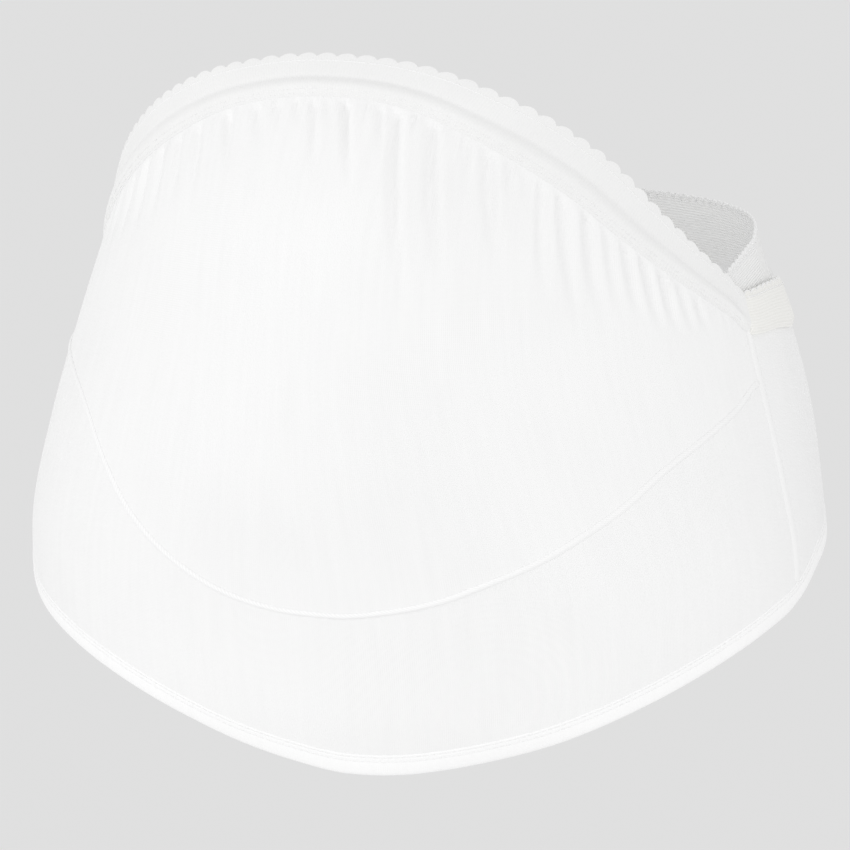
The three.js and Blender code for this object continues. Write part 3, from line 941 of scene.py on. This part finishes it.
u_fine = np.linspace(0, 1, scallop_count * 12 + 1)
tips = 1 - (scallop_dip(u_fine, scallop_height) + 0.25) / band_width
scallop_cord = cord_along("scallop_edging", on_band(u_fine, tips, -0.6), 0.55)
settle(scallop_cord, thread)
base_cord = cord_along("scallop_base_line", on_band(u_fine, 0.82 + 0 * u_fine, -0.03), 0.22)
settle(base_cord, thread)

# %% [markdown]
# A twin needle sews the elastic's foot to the gathers. The same stitch lines as at the hem are laid on
# its face.

# %% The twin stitch lines at the elastic's foot
band_stitch_pitch = 2.6


def band_stitches(name, rise):
    def place(turn):
        at, height = band_place(turn, (1 - rise) * band_width)
        return cloth(at, height, band_face(turn, rise) + 0.04), outward(at, height)

    turns = spaced_turns(top_edge, 1.2 - right_seam, left_seam - 1.2, band_stitch_pitch)
    return settle(stitch_line(name, place, turns, 0.78, 0.45, 0.3), thread)


band_stitches("elastic_stitches_low", 0.06)
band_stitches("elastic_stitches_high", 0.14)

# %% [markdown]
# ## The back elastic
# The back elastic is a plain ribbed band with small round loops along its top, called picots. The ribs
# are low and lie about a millimetre apart, so they are left to the material. The picots show in outline,
# so they are modelled: small lobes with a cord along them.

# %% The ribbed band across the back
picot_pitch, picot_height, picot_base, back_band_lift = 4.8, 1.8, 0.88, -0.02
back_start, back_end = left_seam - back_band_reach, 360 - right_seam + back_band_reach
back_turns, back_lengths = length_table(back_top, back_start, back_end)
picot_count = round(back_lengths[-1] / picot_pitch)
print("the back elastic has", picot_count, "picots on", round(float(back_lengths[-1])), "mm")


def back_turn(u):
    return np.interp(u * back_lengths[-1], back_lengths, back_turns)


def picot_dip(u):
    return picot_height * (1 - lobe((u * picot_count) % 1))


def back_band_points(u, v):
    turn = back_turn(u)
    near_edge = np.maximum(v - picot_base, 0) / (1 - picot_base)
    height = back_top(turn) - (1 - v) * back_band_width - picot_dip(u) * near_edge
    return cloth(turn, height, back_band_lift + 0 * turn)


def back_band_uv(u, v):
    return u * back_lengths[-1], v * back_band_width


back_elastic = wrapped_grid("back_elastic", picot_count * 12, 24, back_band_points, back_band_uv)
give_wall(back_elastic, back_band_thickness)
settle(back_elastic, ribs, "back_band")

picot_u = np.linspace(0, 1, picot_count * 12 + 1)
picot_turns = back_turn(picot_u)
picot_path = cloth(picot_turns, back_top(picot_turns) - picot_dip(picot_u) - 0.3, -0.57 + 0 * picot_u)
settle(cord_along("back_picots", picot_path, 0.7), thread)
line_turns = np.linspace(back_start, back_end, 500)
line_path = cloth(line_turns, back_top(line_turns) - 3.2, -0.1 + 0 * line_turns)
settle(cord_along("back_edge_line", line_path, 0.25), thread)

# %% [markdown]
# ## The fastening tabs
# Each tab is a short end of the same kind of elastic, ivory, with its ribs along it, small scallops on
# its top edge and a chain of thread under them. Its free end has rounded corners. The right one could be
# a mirrored copy of the left, but the two side seams lie at different turns, so the same function shapes
# both.

# %% A tab for each side
tab_pitch, tab_tip = 7, 1.6


def side_tab(side, name, seam_turn, node):
    start, end = seam_turn - 0.05, seam_turn + tab_reach
    turns, lengths = length_table(lambda turn: tab_top(side * turn), start, end)
    count = round(lengths[-1] / tab_pitch)

    def place(u, v):
        u = u if side > 0 else 1 - u
        at = np.interp(u * lengths[-1], lengths, turns)
        corner = tab_corner * (1 - ease(end - at, 0, 3)) + 1.6 * (1 - ease(end - at, 0, 12))
        full_height = tab_height + tab_flare * (at - seam_turn) / tab_reach
        low, high = tab_top(side * at) - full_height + corner, tab_top(side * at) - corner
        tip = tab_tip * (1 - lobe((u * count) % 1))
        return side * at, mix(low, high, v) - tip * np.maximum(v - 0.85, 0) / 0.15

    def face(turn, v):
        """The lift of the tab's outer face: full in the middle, lower along its edges and at the joint."""
        near_joint = 1 - ease(np.abs(turn) - seam_turn, 0, 1.5)
        near_foot = (1.3 + 0.7 * near_joint) * (1 - ease(v, 0, 0.12)) + 0.5 * ease(v, 0.86, 1)
        return seat_lift + np.minimum(mix(tab_thickness, 1.8, near_joint), tab_thickness - near_foot)

    def points(u, v):
        turn, height = place(u, v)
        return cloth(turn, height, face(turn, v))

    tab = wrapped_grid(name, count * 12, 26, points, lambda u, v: (u * lengths[-1], v * tab_height))
    give_wall(tab, 2)
    settle(tab, tab_ribs, node)
    u = np.linspace(0.01, 0.97, 240)
    turn, height = place(u, 0 * u + 0.84)
    chain = cord_along(f"{name}_chain", cloth(turn, height, face(turn, 0.84) + 0.1), 0.3)
    settle(chain, thread)
    turn, height = place(u, 0 * u + 0.985)
    edging = cord_along(f"{name}_edging", cloth(turn, height, face(turn, 0.985) - 0.35), 0.45)
    settle(edging, thread)


side_tab(1, "tab_left", left_seam, "side_tab_left")
side_tab(-1, "tab_right", right_seam, "side_tab_right")

# %% [markdown]
# ## Sheets
# The panels are walled sheets of knit. Half the area of each walled piece gives the cloth in it, in square
# metres.

# %% How much cloth each sheet has


def half_area(piece):
    return sum(face.area for face in piece.data.polygons) / 2


for piece in (front_cloth, support_cloth, back_cloth):
    print(piece.name, "has", round(half_area(piece), 4), "square metres of cloth")

# %% [markdown]
# ## The studio
# The belt hangs clear of a pale floor in an even white light. A wide, soft sun from ahead lights the
# front and the hem. It comes from a little below, as light from a white floor close by would, so the
# floor throws no shadow on the way. Two weaker suns from the left and the right model the folds. The
# camera stands a little to the side and slightly above, and is turned clockwise by a hair.

# %% Floor and lights
floor_drop, floor_grey, room_light = 0.6, 0.87, 0.8
start_clean()
bpy.ops.mesh.primitive_plane_add(size=400, location=(0, 0, -floor_drop))
floor = bpy.context.object
floor.name = "floor"
floor.visible_shadow = False
floor_paint = bpy.data.materials.new("floor_paint")
floor_paint.use_nodes = True
floor_surface = floor_paint.node_tree.nodes["Principled BSDF"]
floor_surface.inputs["Base Color"].default_value = (floor_grey, floor_grey, floor_grey, 1)
floor_surface.inputs["Roughness"].default_value = 1
floor_surface.inputs["Specular IOR Level"].default_value = 0
floor.data.materials.append(floor_paint)

world = bpy.data.worlds.new("studio")
bpy.context.scene.world = world
world.use_nodes = True
world.node_tree.nodes["Background"].inputs["Color"].default_value = (1, 1, 1, 1)
world.node_tree.nodes["Background"].inputs["Strength"].default_value = room_light


def direction(azimuth, elevation):
    """The way from the belt to a place, in degrees round from the front and degrees up."""
    a, e = math.radians(azimuth), math.radians(elevation)
    return Vector((math.sin(a) * math.cos(e), -math.cos(a) * math.cos(e), math.sin(e)))


def soft_sun(name, azimuth, elevation, strength, spread):
    light = bpy.data.lights.new(name, "SUN")
    light.energy = strength
    light.angle = math.radians(spread)
    lamp = bpy.data.objects.new(name, light)
    bpy.context.scene.collection.objects.link(lamp)
    lamp.rotation_euler = direction(azimuth, elevation).to_track_quat("Z", "Y").to_euler()
    print(name, "sun at", azimuth, "degrees round and", elevation, "up")


soft_sun("key", -60, 10, 0.4, 26)
soft_sun("fill", 80, 10, 0.45, 50)
soft_sun("low", -4, -12, 0.66, 46)

# %% The camera
camera_azimuth, camera_elevation, camera_roll, camera_distance = 17, 6, 2.4, 2
aim, sideways, lens, sensor = Vector((0, 0, 0.05175)), 0.0027, 188.24, 36

back = direction(camera_azimuth, camera_elevation)
right = direction(camera_azimuth + 90, 0)
up = back.cross(right)
roll = math.radians(camera_roll)
across_picture = right * math.cos(roll) + up * math.sin(roll)
up_picture = up * math.cos(roll) - right * math.sin(roll)
eye = aim + back * camera_distance - across_picture * sideways
view = bpy.data.cameras.new("camera")
view.sensor_width, view.lens = sensor, lens
camera = bpy.data.objects.new("camera", view)
bpy.context.scene.collection.objects.link(camera)
camera.matrix_world = Matrix((
    (across_picture.x, up_picture.x, back.x, eye.x),
    (across_picture.y, up_picture.y, back.y, eye.y),
    (across_picture.z, up_picture.z, back.z, eye.z),
    (0, 0, 0, 1),
))
bpy.context.scene.camera = camera
bpy.context.scene.view_settings.view_transform = "Standard"
print("the camera looks from", [round(number, 3) for number in eye])
